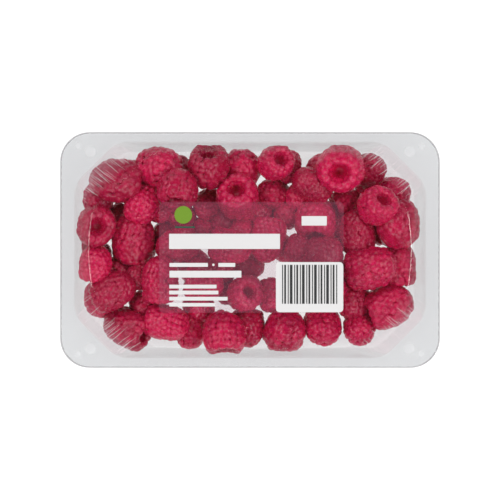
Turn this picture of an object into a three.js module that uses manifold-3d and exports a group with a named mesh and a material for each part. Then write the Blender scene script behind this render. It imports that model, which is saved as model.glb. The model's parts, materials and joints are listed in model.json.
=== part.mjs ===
// A clear plastic punnet of raspberries: a thermoformed tray with a wide flange, a snap-on domed lid,
// a printed label on the lid, and a loose heap of berries. Millimetres, +Z up, +X along the pack.
// The origin is the middle of the underside, on the surface that the punnet stands on.
import * as THREE from "three";
import { mergeVertices } from "three/addons/utils/BufferGeometryUtils.js";
import Module from "manifold-3d";

const wasm = await Module();
wasm.setup();

// Driving dimensions
const PACK_LENGTH = 187;
const PACK_WIDTH = 116;
const PACK_CORNER_RADIUS = 14.5;
const TRAY_DEPTH = 28;
const LID_RISE = 10;
const WALL = 0.5;
const TRAY_DRAFT = 3.2;
const FLOOR_EDGE_RADIUS = 4;
const SKIRT_HEIGHT = 3;
const SEAT_GAP = 0.1;
const SKIRT_GAP = 0.3;
const LABEL_LENGTH = 90;
const LABEL_WIDTH = 54;
const LABEL_THICKNESS = 0.2;
const LABEL_CORNER_RADIUS = 2.5;
const LABEL_CENTRE = { x: 0.7, y: -3.6 };

// The tray's mouth and the lid's top panel are octagons with rounded vertices: half the length and width,
// how much the corners are cut off, and the radius of each vertex.
const MOUTH = { a: 86.7, b: 53.3, cut: 21, r: 14 };
const PANEL = { a: 78.6, b: 47.9, cut: 29.6, r: 12, bow: 0.9 };

// The round nubs pressed into each corner of the lid's flange, so that stacked packs don't stick.
const NUBS = [
  { x: 78.5, y: 48.5, r: 3, rise: 1.4 },
  { x: 84.6, y: 51.2, r: 1.7, rise: 0.9 },
];
const NUB_SINK = 0.25;

const ARC_STEPS = 3;
const SIDE_STEPS = 4;
const OCTAGON_CUT = 2 - Math.SQRT2;

const LID_TOP = TRAY_DEPTH + SEAT_GAP + WALL + LID_RISE;
const LID_FLANGE_TOP = TRAY_DEPTH + SEAT_GAP + WALL;

// A raspberry's outline from the axis in the hollow, over the rim, to the tip: shares of its
// radius and of its length from the middle, the open end being positive.
const BERRY_PROFILE = [
  [0.0, -0.02],
  [0.3, 0.06],
  [0.52, 0.44],
  [0.8, 0.47],
  [1.0, 0.2],
  [0.95, -0.14],
  [0.62, -0.41],
  [0.0, -0.5],
];
const BERRY_SIDES = 8;
const BERRY_LUMP = 0.035;

// Each raspberry where the pack shows it, in the order that they lie on one another, lowest first:
// x, y, diameter, length, then the way that its open end faces: degrees round from +X, and degrees above
// the horizontal, so that 90 shows the hollow from above and -90 the tip.
const BERRIES = [
  [-64, -10, 15.5, 16, 30, -50],
  [-21, 22.5, 15, 15.5, 30, -40],
  [48.5, 24, 14.5, 15, 200, 20],
  [-12.5, 14, 14.5, 15, 60, -50],
  [18.5, 17.5, 14, 14.5, 60, -60],
  [48, -12.5, 15, 15.5, 200, -30],
  [-35, 17, 15.5, 16, 300, -50],
  [-77, -4, 14.5, 15, 90, 0],
  [-20.5, 41, 14.5, 15, 0, 0],
  [-38, 40.5, 14.5, 15, 0, 0],
  [3, 18.5, 15, 15.5, 40, -40],
  [-14, -9, 15.5, 16, 70, -30],
  [-29, -8, 15.5, 16, 20, -50],
  [-0.5, -8, 13, 13.5, 20, -50],
  [-25.5, -29, 15, 15.5, 120, -40],
  [24.5, 26.5, 14, 14.5, 0, -60],
  [-43.5, 7.5, 13, 13.5, 250, -40],
  [-45, 19.5, 12, 12.5, 10, -40],
  [-4, 10.5, 12, 12.5, 70, -50],
  [17, 0.5, 12.5, 13, 130, -40],
  [59.5, 31, 13, 13.5, 80, -30],
  [-79.5, 3, 12, 12.5, 270, -20],
  [-24.5, 10, 13, 13.5, 190, -60],
  [-66, 16, 13, 13.5, 60, -30],
  [-55.5, -13, 13, 13.5, 60, -40],
  [-11, -21.5, 12, 12.5, 40, -40],
  [66, 9.5, 13, 13.5, 80, -30],
  [44, 11, 13, 13.5, 140, -50],
  [-77.5, 14, 14.5, 15, 90, 0],
  [-60.5, 31, 14, 14.5, 0, 0],
  [-76, 25, 15, 15.5, 90, -30],
  [-53.5, 22, 18, 19.5, 60, -40],
  [-52.5, -27.5, 16, 16.5, 0, -60],
  [23.5, 0, 14, 14.5, 60, -40],
  [36, -2, 17, 20, 0, -20],
  [18.5, 41.5, 15, 16, 90, -20],
  [36, 41, 14.5, 15, 20, -30],
  [-23.5, -17, 16, 20, 170, 5],
  [11, -23, 14.5, 17, 90, -20],
  [25.5, -17.5, 17, 18, 45, -30],
  [39, -19, 17, 18, 200, -30],
  [-75, -25, 16.5, 17.5, 90, -20],
  [-30, -41, 15.5, 17, 90, -10],
  [-1.5, -39, 16.5, 19, 90, -15],
  [55, -39.5, 16.5, 17, 90, -60],
  [36.5, -38.5, 18.5, 19, 90, -50],
  [-4.5, 43.5, 19.5, 20, 270, -70],
  [59, 40, 16.5, 18, 200, -40],
  [72.5, 29, 15, 16, 180, -20],
  [75.5, -7.5, 17.5, 22, 270, -5],
  [-77, -7, 16.5, 18.5, 260, -5],
  [-44.5, 41, 20.5, 22, 180, -35],
  [11.5, 28, 16, 16.5, 0, -60],
  [31, 32.5, 16, 20.5, 330, -20],
  [-77.5, 12, 20, 18, 340, 78],
  [73.5, 12.5, 22, 22.5, 100, -10],
  [-36, 2.5, 17, 22, 20, 8],
  [-10, 2, 17, 22, 170, 5],
  [9, 5.5, 17, 23, 80, -5],
  [-44.5, -15, 18, 23.5, 270, -5],
  [52, -26, 17, 18, 90, -20],
  [69.5, -28, 21, 24, 202, 5],
  [17.5, -40.5, 21, 22, 250, -50],
  [-41.5, -36, 18, 22.5, 170, -10],
  [-63, -41, 19, 25, 335, 25],
  [-20.5, 41, 20.5, 20.5, 90, 40],
  [12.5, 44.5, 17.5, 17, 30, 60],
  [-68, 36, 22, 25.5, 0, -10],
  [-35.5, 30.5, 20, 17.5, 265, 25],
  [-6, 26, 21.5, 23, 100, 60],
  [45, 42, 23.5, 23, 250, 70],
  [62.5, 21.5, 18.5, 19, 50, 55],
  [33, 15.5, 20.5, 21, 265, 25],
  [60, -9, 21.5, 25.5, 190, -8],
  [53.5, 9, 17.5, 22.5, 275, -8],
  [-68, -20.5, 18, 23, 207, -5],
  [-58.5, 6, 21.5, 26, 270, -20],
  [-3, -22, 17.5, 18.5, 30, 65],
  [-13, -42.5, 21.5, 21, 275, 20],
];
// Ripe berries give where they touch: two rest this share of their radii apart, and the plastic presses
// a berry in to this share of its own.
const BERRY_SQUEEZE = 0.78;
const BERRY_GIVE = 0.95;
const BERRY_CLEARANCE = 0.4;

// The heap's core fills the hidden middle, well inside the berries that show. It also stands in for the
// smallest berries, which lie deep between the others.
const SMALLEST_SHOWN = 14;
const CORE_INSET = 15;
const CORE_CORNER_RADIUS = 5;
const CORE_BOTTOM = 6.5;
const CORE_TOP = 16.2;

// An octagon with rounded vertices that lies t inside another.
function inset(shape, t) {
  return {
    ...shape,
    a: shape.a - t,
    b: shape.b - t,
    cut: shape.cut - OCTAGON_CUT * t,
    r: shape.r - t,
  };
}

// A rounded rectangle, as an octagon whose rounded vertices meet in the middle of each cut corner.
function roundedRectangle(length, width, radius) {
  return { a: length / 2, b: width / 2, cut: OCTAGON_CUT * radius, r: radius };
}

// The outline of such an octagon at height z, anticlockwise from the middle of the +X end. Every outline
// has the same number of points, so that any two can be joined. Its ends and sides bow out by shape.bow.
function ring(shape, z) {
  const { a, b, cut, r } = shape;
  const bow = shape.bow ?? 0;
  const tangent = r * Math.tan(Math.PI / 8);
  const points = [];
  for (let quarter = 0; quarter < 4; quarter++) {
    const [u, v] = quarter % 2 ? [b, a] : [a, b];
    const quarterPoints = [];
    const straight = v - cut - tangent;
    for (let i = 0; i < SIDE_STEPS; i++) {
      const along = i / SIDE_STEPS;
      quarterPoints.push([u + bow * (1 - along * along), straight * along]);
    }
    const centres = [
      [u - r, straight],
      [u - cut - tangent, v - r],
    ];
    centres.forEach(([x, y], k) => {
      for (let i = 0; i <= ARC_STEPS; i++) {
        const turn = (Math.PI / 4) * (k + i / ARC_STEPS);
        quarterPoints.push([x + r * Math.cos(turn), y + r * Math.sin(turn)]);
      }
    });
    const nextStraight = u - cut - tangent;
    for (let i = SIDE_STEPS - 1; i > 0; i--) {
      const along = i / SIDE_STEPS;
      quarterPoints.push([nextStraight * along, v + bow * (1 - along * along)]);
    }
    const turned = new THREE.Matrix4().makeRotationZ((Math.PI / 2) * quarter);
    for (const [x, y] of quarterPoints) {
      points.push(new THREE.Vector3(x, y, z).applyMatrix4(turned));
    }
  }
  return points;
}

// A closed surface through rings of points, with a fan over the first ring and over the last. Seen along
// the way that the rings run, from the first fan outwards, the outside is on the right.
function skinOf(rings) {
  const count = rings[0].length;
  const positions = [];
  const index = [];
  const middle = (points) => new THREE.Vector3(0, 0, points[0].z);
  for (const point of [middle(rings[0]), ...rings.flat(), middle(rings.at(-1))]) {
    positions.push(point.x, point.y, point.z);
  }
  const at = (k, i) => 1 + k * count + (i % count);
  const last = 1 + rings.length * count;
  for (let i = 0; i < count; i++) {
    index.push(0, at(0, i + 1), at(0, i));
    index.push(last, at(rings.length - 1, i), at(rings.length - 1, i + 1));
    for (let k = 0; k + 1 < rings.length; k++) {
      index.push(at(k, i), at(k, i + 1), at(k + 1, i));
      index.push(at(k, i + 1), at(k + 1, i + 1), at(k + 1, i));
    }
  }
  const geometry = new THREE.BufferGeometry();
  geometry.setAttribute("position", new THREE.Float32BufferAttribute(positions, 3));
  geometry.setIndex(index);
  return geometry;
}

// The tray: floor, rounded foot, drafted walls and flat flange, all one wall thick.
function trayGeometry() {
  const floor = inset(MOUTH, TRAY_DRAFT);
  const rim = roundedRectangle(
    PACK_LENGTH - 2 * (WALL + SKIRT_GAP),
    PACK_WIDTH - 2 * (WALL + SKIRT_GAP),
    PACK_CORNER_RADIUS - WALL - SKIRT_GAP,
  );
  const footSteps = [0, 0.5, 1].map((share) => (Math.PI / 2) * share);
  const foot = (radius, thickness) =>
    footSteps.map((turn) =>
      ring(
        inset(floor, FLOOR_EDGE_RADIUS - radius * Math.sin(turn)),
        thickness + radius * (1 - Math.cos(turn)),
      ),
    );
  const outside = foot(FLOOR_EDGE_RADIUS, 0);
  const inside = foot(FLOOR_EDGE_RADIUS - WALL, WALL);
  return skinOf([
    ...outside,
    ring(MOUTH, TRAY_DEPTH - WALL),
    ring(rim, TRAY_DEPTH - WALL),
    ring(rim, TRAY_DEPTH),
    ring(inset(MOUTH, WALL), TRAY_DEPTH),
    ...inside.reverse(),
  ]);
}

// A domed nub on its own spot of the flange, its foot sunk into the plastic.
function nubGeometry({ r, rise }) {
  const steps = [0, 0.35, 0.7, 1].map((share) => (Math.PI / 2) * share);
  const dome = steps.map((turn) => new THREE.Vector2(r * Math.cos(turn), rise * Math.sin(turn)));
  dome.at(-1).x = 0;
  const profile = [new THREE.Vector2(0, -NUB_SINK), new THREE.Vector2(r, -NUB_SINK), ...dome];
  return new THREE.LatheGeometry(profile, 12).rotateX(Math.PI / 2);
}

// The lid: a raised panel, walls that slope down to the flange, and a skirt round the tray's rim.
function lidGeometry() {
  const rim = roundedRectangle(PACK_LENGTH, PACK_WIDTH, PACK_CORNER_RADIUS);
  const underside = LID_FLANGE_TOP - WALL;
  const skirtFoot = LID_FLANGE_TOP - SKIRT_HEIGHT;
  const sheet = skinOf(
    [
      ring(inset(PANEL, 1.2), LID_TOP),
      ring(PANEL, LID_TOP - 0.6),
      ring(MOUTH, LID_FLANGE_TOP),
      ring(inset(rim, 0.6), LID_FLANGE_TOP),
      ring(rim, LID_FLANGE_TOP - 0.6),
      ring(rim, skirtFoot),
      ring(inset(rim, WALL), skirtFoot),
      ring(inset(rim, WALL), underside),
      ring(inset(MOUTH, WALL), underside),
      ring(inset(PANEL, WALL), LID_TOP - 0.6 - WALL),
      ring(inset(PANEL, 1.2 + WALL), LID_TOP - WALL),
    ].reverse(),
  );
  let lidSolid = solidOf(sheet);
  for (const nub of NUBS) {
    for (const [sideX, sideY] of [[1, 1], [-1, 1], [-1, -1], [1, -1]]) {
      const place = nubGeometry(nub).translate(sideX * nub.x, sideY * nub.y, LID_FLANGE_TOP);
      lidSolid = lidSolid.add(solidOf(place));
    }
  }
  return geometryOf(lidSolid);
}

// The label, a thin plate on the lid's panel.
function labelGeometry() {
  const a = LABEL_LENGTH / 2;
  const b = LABEL_WIDTH / 2;
  const r = LABEL_CORNER_RADIUS;
  const outline = new THREE.Shape();
  outline.absarc(a - r, b - r, r, 0, Math.PI / 2);
  outline.absarc(r - a, b - r, r, Math.PI / 2, Math.PI);
  outline.absarc(r - a, r - b, r, Math.PI, 1.5 * Math.PI);
  outline.absarc(a - r, r - b, r, 1.5 * Math.PI, 2 * Math.PI);
  return new THREE.ExtrudeGeometry(outline, {
    depth: LABEL_THICKNESS,
    bevelEnabled: false,
    curveSegments: 3,
  });
}

// A raspberry about its own middle, its open end up: the lathed outline, with every other
// point of its rings a little out or in for the lumps.
function berryGeometry(diameter, length) {
  const profile = BERRY_PROFILE.map(
    ([across, along]) => new THREE.Vector2((across * diameter) / 2, along * length),
  ).reverse();
  const lathe = new THREE.LatheGeometry(profile, BERRY_SIDES);
  const stood = lathe.rotateX(Math.PI / 2);
  const position = stood.getAttribute("position");
  const rows = profile.length;
  for (let i = 0; i < position.count; i++) {
    const side = Math.floor(i / rows) % BERRY_SIDES;
    const lump = 1 + BERRY_LUMP * ((side + (i % rows)) % 2 ? 1 : -1);
    position.setXY(i, position.getX(i) * lump, position.getY(i) * lump);
  }
  return stood;
}

// Moves a point in or out of plan so that a berry of that radius at height z stays inside the tray's walls.
function keptInside(x, y, radius, z) {
  const lean = TRAY_DRAFT * Math.max(0, 1 - z / TRAY_DEPTH);
  const room = inset(MOUTH, lean + WALL + BERRY_CLEARANCE + BERRY_GIVE * radius);
  let px = THREE.MathUtils.clamp(x, -room.a, room.a);
  let py = THREE.MathUtils.clamp(y, -room.b, room.b);
  const over = Math.abs(px) + Math.abs(py) - (room.a + room.b - room.cut);
  if (over > 0) {
    px -= (Math.sign(px) * over) / 2;
    py -= (Math.sign(py) * over) / 2;
  }
  return [px, py];
}

// Drops the berries one after another: each comes to rest on the floor or on those below it.
function restingPlaces() {
  const placed = [];
  for (const [x, y, diameter, length, heading, tilt] of BERRIES) {
    const radius = (diameter + length) / 4;
    const lowest = WALL + BERRY_CLEARANCE + radius;
    let place = { x, y, z: lowest };
    for (let pass = 0; pass < 3; pass++) {
      const [px, py] = keptInside(x, y, radius, place.z);
      let z = lowest;
      for (const other of placed) {
        const reach = BERRY_SQUEEZE * (radius + other.radius);
        const apart = Math.hypot(px - other.x, py - other.y);
        if (apart < reach) {
          z = Math.max(z, other.z + Math.sqrt(reach * reach - apart * apart));
        }
      }
      place = { x: px, y: py, z: Math.min(z, LID_TOP - lowest) };
    }
    placed.push({ ...place, radius, diameter, length, heading, tilt });
  }
  return placed;
}

// The turn that faces +Z along a heading and a tilt, both in degrees.
function facing(heading, tilt) {
  const round = THREE.MathUtils.degToRad(heading);
  const up = THREE.MathUtils.degToRad(tilt);
  const way = new THREE.Vector3(
    Math.cos(up) * Math.cos(round),
    Math.cos(up) * Math.sin(round),
    Math.sin(up),
  );
  return new THREE.Quaternion().setFromUnitVectors(new THREE.Vector3(0, 0, 1), way);
}

function solidOf(geometry) {
  const bare = geometry.clone();
  bare.deleteAttribute("normal");
  bare.deleteAttribute("uv");
  const merged = mergeVertices(bare, 1e-3);
  return new wasm.Manifold(
    new wasm.Mesh({
      numProp: 3,
      vertProperties: merged.getAttribute("position").array,
      triVerts: new Uint32Array(merged.index.array),
    }),
  );
}

function geometryOf(solid) {
  const { numProp, vertProperties, triVerts } = solid.getMesh();
  const points = new Float32Array((vertProperties.length / numProp) * 3);
  for (let i = 0; i < points.length / 3; i++) {
    points.set(vertProperties.subarray(i * numProp, i * numProp + 3), i * 3);
  }
  const geometry = new THREE.BufferGeometry();
  geometry.setAttribute("position", new THREE.BufferAttribute(points, 3));
  geometry.setIndex(new THREE.BufferAttribute(triVerts, 1));
  return geometry.toNonIndexed();
}

// The room inside the shut pack, a clearance away from the plastic all round.
function roomGeometry() {
  const gap = WALL + BERRY_CLEARANCE;
  const floor = inset(MOUTH, TRAY_DRAFT + gap);
  return skinOf([
    ring(inset(floor, FLOOR_EDGE_RADIUS - gap), gap),
    ring(inset(floor, (FLOOR_EDGE_RADIUS - gap) * 0.3), FLOOR_EDGE_RADIUS * 0.35 + gap),
    ring(floor, FLOOR_EDGE_RADIUS + gap),
    ring(inset(MOUTH, gap), TRAY_DEPTH),
    ring(inset(PANEL, 1.2 + gap), LID_TOP - 0.6 - gap),
  ]);
}

// The heap: every berry fused on the core, as one solid, pressed flat where it meets the pack.
function heapGeometry() {
  const coreShape = { ...inset(MOUTH, CORE_INSET), r: CORE_CORNER_RADIUS };
  let heap = solidOf(skinOf([ring(coreShape, CORE_BOTTOM), ring(coreShape, CORE_TOP)]));
  for (const berry of restingPlaces().filter(({ diameter }) => diameter >= SMALLEST_SHOWN)) {
    const geometry = berryGeometry(berry.diameter, berry.length);
    const place = new THREE.Matrix4().compose(
      new THREE.Vector3(berry.x, berry.y, berry.z),
      facing(berry.heading, berry.tilt),
      new THREE.Vector3(1, 1, 1),
    );
    heap = heap.add(solidOf(geometry.applyMatrix4(place)));
  }
  const bodies = heap.intersect(solidOf(roomGeometry())).decompose();
  const largest = bodies.reduce((a, b) => (a.volume() > b.volume() ? a : b));
  return geometryOf(largest);
}

function part(name, geometry, look) {
  geometry.computeVertexNormals();
  const mesh = new THREE.Mesh(geometry, new THREE.MeshStandardMaterial(look));
  mesh.name = name;
  return mesh;
}

const clear = { color: 0xe4e6ea, roughness: 0.06, metalness: 0, transparent: true, opacity: 0.25 };
const tray = part("tray", trayGeometry(), clear);
const lid = part("lid", lidGeometry(), clear);
const label = part("label", labelGeometry(), { color: 0x7a4a55, roughness: 0.35, metalness: 0 });
const raspberries = part("raspberries", heapGeometry(), {
  color: 0xa81f3f,
  roughness: 0.55,
  metalness: 0,
});
label.position.set(LABEL_CENTRE.x, LABEL_CENTRE.y, LID_TOP + SEAT_GAP);

const punnet = new THREE.Group();
punnet.name = "punnet";
punnet.add(tray, lid, label, raspberries);

export default punnet;
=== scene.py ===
import json
import math
import random
from dataclasses import dataclass, replace

import bmesh
import bpy
import numpy as np
from mathutils import Matrix, Quaternion, Vector

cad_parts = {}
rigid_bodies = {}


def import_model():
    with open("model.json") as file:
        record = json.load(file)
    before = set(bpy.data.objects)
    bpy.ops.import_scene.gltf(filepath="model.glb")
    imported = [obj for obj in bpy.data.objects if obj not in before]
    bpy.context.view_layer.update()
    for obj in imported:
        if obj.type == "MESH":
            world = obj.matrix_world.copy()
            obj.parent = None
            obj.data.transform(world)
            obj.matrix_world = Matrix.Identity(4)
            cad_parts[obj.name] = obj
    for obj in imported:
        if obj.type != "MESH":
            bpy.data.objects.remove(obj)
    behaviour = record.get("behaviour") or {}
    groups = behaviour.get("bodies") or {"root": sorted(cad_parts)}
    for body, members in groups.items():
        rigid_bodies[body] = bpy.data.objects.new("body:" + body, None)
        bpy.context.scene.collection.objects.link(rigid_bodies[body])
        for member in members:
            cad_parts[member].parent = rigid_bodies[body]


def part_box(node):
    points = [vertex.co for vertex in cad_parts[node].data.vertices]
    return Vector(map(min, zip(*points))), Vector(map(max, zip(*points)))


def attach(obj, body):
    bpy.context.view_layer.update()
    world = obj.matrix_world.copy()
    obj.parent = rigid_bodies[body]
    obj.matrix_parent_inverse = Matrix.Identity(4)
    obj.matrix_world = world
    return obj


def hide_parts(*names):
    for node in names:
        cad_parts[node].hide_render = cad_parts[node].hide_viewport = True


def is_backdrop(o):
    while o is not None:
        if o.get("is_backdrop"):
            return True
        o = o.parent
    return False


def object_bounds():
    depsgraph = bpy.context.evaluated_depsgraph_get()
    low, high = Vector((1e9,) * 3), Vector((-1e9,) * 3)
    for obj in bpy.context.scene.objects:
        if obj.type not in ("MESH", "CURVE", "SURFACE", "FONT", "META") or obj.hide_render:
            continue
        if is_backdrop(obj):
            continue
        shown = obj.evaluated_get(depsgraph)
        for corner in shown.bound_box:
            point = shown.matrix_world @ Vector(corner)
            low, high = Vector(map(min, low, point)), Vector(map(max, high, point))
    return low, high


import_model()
CAD_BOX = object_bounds()

bl_info = {
    "name": "Punnet of raspberries",
    "version": (1, 0, 0),
    "blender": (4, 5, 0),
    "location": "View3D > Sidebar > Punnet",
    "description": "Builds a clear plastic punnet of raspberries and its label on a measured frame",
    "category": "Object",
}

MM = 0.001
LID_LOW, LID_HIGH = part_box("lid")
TRAY_LOW, TRAY_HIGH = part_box("tray")
LABEL_LOW, LABEL_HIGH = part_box("label")

# How the thermoformed sheets lie on one another, in metres
SEAT_GAP = 0.1 * MM
SKIRT_GAP = 0.3 * MM
SKIRT_HEIGHT = 3.0 * MM
SKIRT_BEND = 0.8 * MM
TRAY_DRAFT = 3.2 * MM
FOOT_RADIUS = 4.0 * MM
# The lid's side, from inside the panel's edge down to the flange: shares of the way from the panel's
# outline to the tray's mouth, and of the lid's rise.
LID_SIDE = (
    (-0.16, 0.0),
    (-0.08, 0.015),
    (0.0, 0.055),
    (0.05, 0.0975),
    (0.5, 0.525),
    (0.97, 0.9715),
    (1.0, 1.0),
)
# How far the lid's sides have come down at their top, and how much further they come to the flange:
# shares of the lid's rise.
FACET_FALL = (0.05, 0.95)
# The haze of the lid's corners fades out over this height
HAZE_FADE = 7 * MM
# The flutes on the lid's corners: how far to either side of a corner's middle they reach, the share of
# them that is missing, how unevenly they lie, and their half width, half height and height of their middle.
FLUTE_SPAN = 17.5 * MM
FLUTES_MISSING = 0.3
FLUTE_SHIFT = 0.35
FLUTE_BEND = 0.7
FLUTE_HALF_WIDTH = 0.12 * MM
FLUTE_HALF_HEIGHT = 0.13 * MM
FLUTE_LIFT = 0.18 * MM
# The stacking nubs on the flange's corners, in millimetres: x, y, radius and height
NUBS = ((78.5, 48.5, 3.0, 1.4), (84.6, 51.2, 1.7, 0.9))
# The four corners of the pack, as signs of x and y
QUADRANTS = ((1, 1), (-1, 1), (-1, -1), (1, -1))

# The label's print is this thick and lies this far above the film
INK_THICKNESS = 0.03 * MM
INK_LIFT = 0.01 * MM
# The white strips and the dot, in millimetres: lower left corner, upper right corner and corner radius
WHITE_STRIPS = (
    ((-39.4, 0.5), (14.6, 7.9), 0.3),
    ((25.1, 11.9), (37.4, 16.5), 0.3),
    ((-39.2, -8.2), (-20.5, -6.3), 0.2),
    ((-15.4, -8.2), (-7.2, -6.3), 0.2),
    ((-39.2, -13.4), (-4.2, -10.1), 0.25),
    ((-39.3, -18.7), (-16.3, -16.9), 0.15),
    ((-39.3, -21.6), (-15.4, -19.8), 0.15),
    ((-39.3, -24.6), (-10.9, -22.8), 0.15),
    ((-39.3, -27.5), (-16.9, -25.8), 0.15),
)
WHITE_DOT = ((-18.4, -7.8), (-17.2, -6.6), 0.6)
WHITE_PANEL = ((12.6, -30.3), (45.4, -5.9), 1.8)
GREEN_DISC = ((-36.8, 12.8), (-28.2, 21.4), 4.3)
GREEN_LINE = ((-36.6, 10.7), (-26.8, 11.5), 0.3)
# The dark bars on the white panel, in millimetres: from where to where they stand, their lower and upper
# ends, and the widths and gaps that repeat along them
BARS_START = 15.6
BARS_STOP = 42.6
BARS_LOW = -26.2
BARS_HIGH = -7.2
BAR_WIDTHS = (0.5, 0.9, 0.5, 1.3)
BAR_GAPS = (0.55, 0.8)
BAR_CORNER = 0.02

# Each raspberry where it shows, in the order that they lie on one another, lowest first: x, y, diameter
# and length in millimetres, then the degrees round from +X and above the horizontal of its open end.
BERRIES = (
    (-64, -10, 15.5, 16, 30, -50),
    (-21, 22.5, 15, 15.5, 30, -40),
    (48.5, 24, 14.5, 15, 200, 20),
    (-12.5, 14, 14.5, 15, 60, -50),
    (18.5, 17.5, 14, 14.5, 60, -60),
    (48, -12.5, 15, 15.5, 200, -30),
    (-35, 17, 15.5, 16, 300, -50),
    (-77, -4, 14.5, 15, 90, 0),
    (-20.5, 41, 14.5, 15, 0, 0),
    (-38, 40.5, 14.5, 15, 0, 0),
    (3, 18.5, 15, 15.5, 40, -40),
    (-14, -9, 15.5, 16, 70, -30),
    (-29, -8, 15.5, 16, 20, -50),
    (-0.5, -8, 13, 13.5, 20, -50),
    (-25.5, -29, 15, 15.5, 120, -40),
    (24.5, 26.5, 14, 14.5, 0, -60),
    (-43.5, 7.5, 13, 13.5, 250, -40),
    (-45, 19.5, 12, 12.5, 10, -40),
    (-4, 10.5, 12, 12.5, 70, -50),
    (17, 0.5, 12.5, 13, 130, -40),
    (59.5, 31, 13, 13.5, 80, -30),
    (-79.5, 3, 12, 12.5, 270, -20),
    (-24.5, 10, 13, 13.5, 190, -60),
    (-66, 16, 13, 13.5, 60, -30),
    (-55.5, -13, 13, 13.5, 60, -40),
    (-11, -21.5, 12, 12.5, 40, -40),
    (66, 9.5, 13, 13.5, 80, -30),
    (44, 11, 13, 13.5, 140, -50),
    (-77.5, 14, 14.5, 15, 90, 0),
    (-60.5, 31, 14, 14.5, 0, 0),
    (-76, 25, 15, 15.5, 90, -30),
    (-53.5, 22, 18, 19.5, 60, -40),
    (-52.5, -27.5, 16, 16.5, 0, -60),
    (23.5, 0, 14, 14.5, 60, -40),
    (36, -2, 17, 20, 0, -20),
    (18.5, 41.5, 15, 16, 90, -20),
    (36, 41, 14.5, 15, 20, -30),
    (-23.5, -17, 16, 20, 170, 5),
    (11, -23, 14.5, 17, 90, -20),
    (25.5, -17.5, 17, 18, 45, -30),
    (39, -19, 17, 18, 200, -30),
    (-75, -25, 16.5, 17.5, 90, -20),
    (-30, -41, 15.5, 17, 90, -10),
    (-1.5, -39, 16.5, 19, 90, -15),
    (55, -39.5, 16.5, 17, 90, -60),
    (36.5, -38.5, 18.5, 19, 90, -50),
    (-4.5, 43.5, 19.5, 20, 270, -70),
    (59, 40, 16.5, 18, 200, -40),
    (72.5, 29, 15, 16, 180, -20),
    (75.5, -7.5, 17.5, 22, 270, -5),
    (-77, -7, 16.5, 18.5, 260, -5),
    (-44.5, 41, 20.5, 22, 180, -35),
    (11.5, 28, 16, 16.5, 0, -60),
    (31, 32.5, 16, 20.5, 330, -20),
    (-77.5, 12, 20, 18, 340, 78),
    (73.5, 12.5, 22, 22.5, 100, -10),
    (-36, 2.5, 17, 22, 20, 8),
    (-10, 2, 17, 22, 170, 5),
    (9, 5.5, 17, 23, 80, -5),
    (-44.5, -15, 18, 23.5, 270, -5),
    (52, -26, 17, 18, 90, -20),
    (69.5, -28, 21, 24, 202, 5),
    (17.5, -40.5, 21, 22, 250, -50),
    (-41.5, -36, 18, 22.5, 170, -10),
    (-63, -41, 19, 25, 335, 25),
    (-20.5, 41, 20.5, 20.5, 90, 40),
    (12.5, 44.5, 17.5, 17, 30, 60),
    (-68, 36, 22, 25.5, 0, -10),
    (-35.5, 30.5, 20, 17.5, 265, 25),
    (-6, 26, 21.5, 23, 100, 60),
    (45, 42, 23.5, 23, 250, 70),
    (62.5, 21.5, 18.5, 19, 50, 55),
    (33, 15.5, 20.5, 21, 265, 25),
    (60, -9, 21.5, 25.5, 190, -8),
    (53.5, 9, 17.5, 22.5, 275, -8),
    (-68, -20.5, 18, 23, 207, -5),
    (-58.5, 6, 21.5, 26, 270, -20),
    (-3, -22, 17.5, 18.5, 30, 65),
    (-13, -42.5, 21.5, 21, 275, 20),
)
# How near two berries' middles may come, as a share of their radii together, how near a berry's middle may
# come to the tray's wall, as a share of its radius, and the room that each keeps from the tray
BERRY_SQUEEZE = 0.78
BERRY_GIVE = 0.95
BERRY_CLEARANCE = 0.4 * MM
# The berries are drawn this much fuller than their rows say, so that neighbours touch
BERRY_FULLNESS = 1.03
# The room that the skin of a berry keeps from the sheet, over how much it is pressed together there, and
# how far its drupelets stand out from the part that is pressed
CONTACT_GAP = 0.15 * MM
CONTACT_SOFTNESS = 0.3 * MM
DRUPELET_RELIEF = 1.9 * MM
# The heap is kept as this many joined meshes
LAYERS = 6
# Length over diameter of each kind of berry
KINDS = (0.95, 1.0, 1.0, 1.06, 1.1, 1.15, 1.25, 1.4)
# Each kind is made at this radius and scaled to its row
KIND_RADIUS = 10 * MM
HAIR_RADIUS = 0.055 * MM
HAIR_SHARE = 0.24
HAIR_STEPS = 4

# The soft lights: name, place and size in metres, and power in watts
LIGHTS = (
    ("key", (-0.24, 0.72, 0.85), (0.9, 0.5), 4.0),
    ("left", (-0.72, -0.02, 0.8), (0.9, 0.3), 4.1),
    ("right", (0.72, -0.02, 0.8), (0.9, 0.3), 4.6),
    ("front", (0.1, -0.7, 0.7), (0.8, 0.4), 4.6),
)
# The camera's sensor, in millimetres
SENSOR_WIDTH = 36

# Where the middles of the drupelets lie, from just inside the hollow, over the rim and down to the tip,
# and the wall of the hollow: shares of the berry's radius and of its length.
DRUPELET_PATH = (
    (0.43, 0.31),
    (0.53, 0.41),
    (0.72, 0.40),
    (0.84, 0.29),
    (0.88, 0.12),
    (0.87, -0.06),
    (0.79, -0.22),
    (0.63, -0.35),
    (0.37, -0.435),
    (0.0, -0.465),
)
HOLLOW_PATH = (
    (0.0, 0.1),
    (0.12, 0.11),
    (0.2, 0.15),
    (0.27, 0.21),
    (0.35, 0.29),
)


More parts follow.
